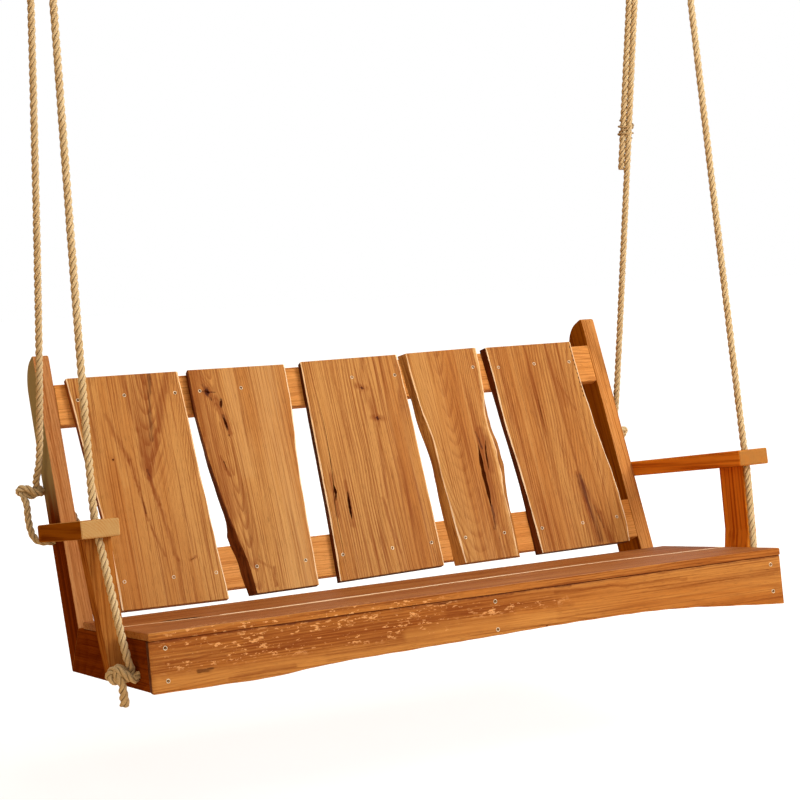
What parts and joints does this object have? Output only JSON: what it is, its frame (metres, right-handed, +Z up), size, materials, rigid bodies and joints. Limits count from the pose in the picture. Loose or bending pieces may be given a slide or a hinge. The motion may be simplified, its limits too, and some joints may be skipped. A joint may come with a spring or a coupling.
{
  "type": "porch swing",
  "caption": "Live-edge wooden porch swing bench with a slatted leaning back and armrests, hung on twisted natural ropes from ceiling rings.",
  "frame": {"origin": "on the ceiling plane, midway between the two ceiling plates that hold the swing up", "axes": "+X along the bench and the hinge line, towards the end on the picture's right; +Y from the seat's front edge to the back; +Z up"},
  "size_m": [1.69, 0.8714, 2.3483],
  "materials": {
    "oiled_wood": "clear-coated golden brown hardwood",
    "dark_wood": "clear-coated red-brown hardwood",
    "pale_wood": "clear-coated honey-coloured hardwood",
    "rope": "three-strand natural fibre",
    "twine": "thin whipping cord",
    "steel": "satin zinc-plated"
  },
  "bodies": {
    "ceiling_fittings": {"ceiling_plate_left": "steel", "ceiling_eye_left": "steel", "ceiling_plate_right": "steel", "ceiling_eye_right": "steel"},
    "bench": {"seat_board_front": "oiled_wood", "seat_board_rear": "oiled_wood", "front_apron": "oiled_wood", "centre_rail": "oiled_wood", "rear_stretcher": "oiled_wood", "upper_back_rail": "oiled_wood", "lower_back_rail": "oiled_wood", "back_slat_1": "pale_wood", "back_slat_2": "pale_wood", "back_slat_3": "pale_wood", "back_slat_4": "pale_wood", "back_slat_5": "pale_wood", "side_rail_left": "dark_wood", "back_post_left": "dark_wood", "arm_post_left": "pale_wood", "armrest_left": "pale_wood", "side_rail_right": "dark_wood", "back_post_right": "dark_wood", "arm_post_right": "pale_wood", "armrest_right": "pale_wood", "ring_left": "steel", "ring_right": "steel", "apron_screw_1": "steel", "apron_screw_2": "steel", "apron_screw_3": "steel", "apron_screw_4": "steel", "apron_screw_5": "steel", "apron_screw_6": "steel", "rope_front_left": "rope", "rope_tail_front_left": "rope", "rope_lashing_front_left": "twine", "knot_front_left": "rope", "rope_loop_front_left": "rope", "rope_rear_left": "rope", "rope_tail_rear_left": "rope", "rope_lashing_rear_left": "twine", "knot_rear_left": "rope", "rope_loop_rear_left": "rope", "rope_end_front_left": "rope", "rope_front_right": "rope", "rope_tail_front_right": "rope", "rope_lashing_front_right": "twine", "knot_front_right": "rope", "rope_loop_front_right": "rope", "rope_rear_right": "rope", "rope_tail_rear_right": "rope", "rope_lashing_rear_right": "twine", "knot_rear_right": "rope", "rope_loop_rear_right": "rope", "rope_end_front_right": "rope"}
  },
  "joints": [
    {"name": "swing", "type": "hinge", "parent": "ceiling_fittings", "child": "bench", "pos_m": [0, 0, -0.05], "axis": [1, 0, 0], "range_deg": [-20, 20]}
  ]
}
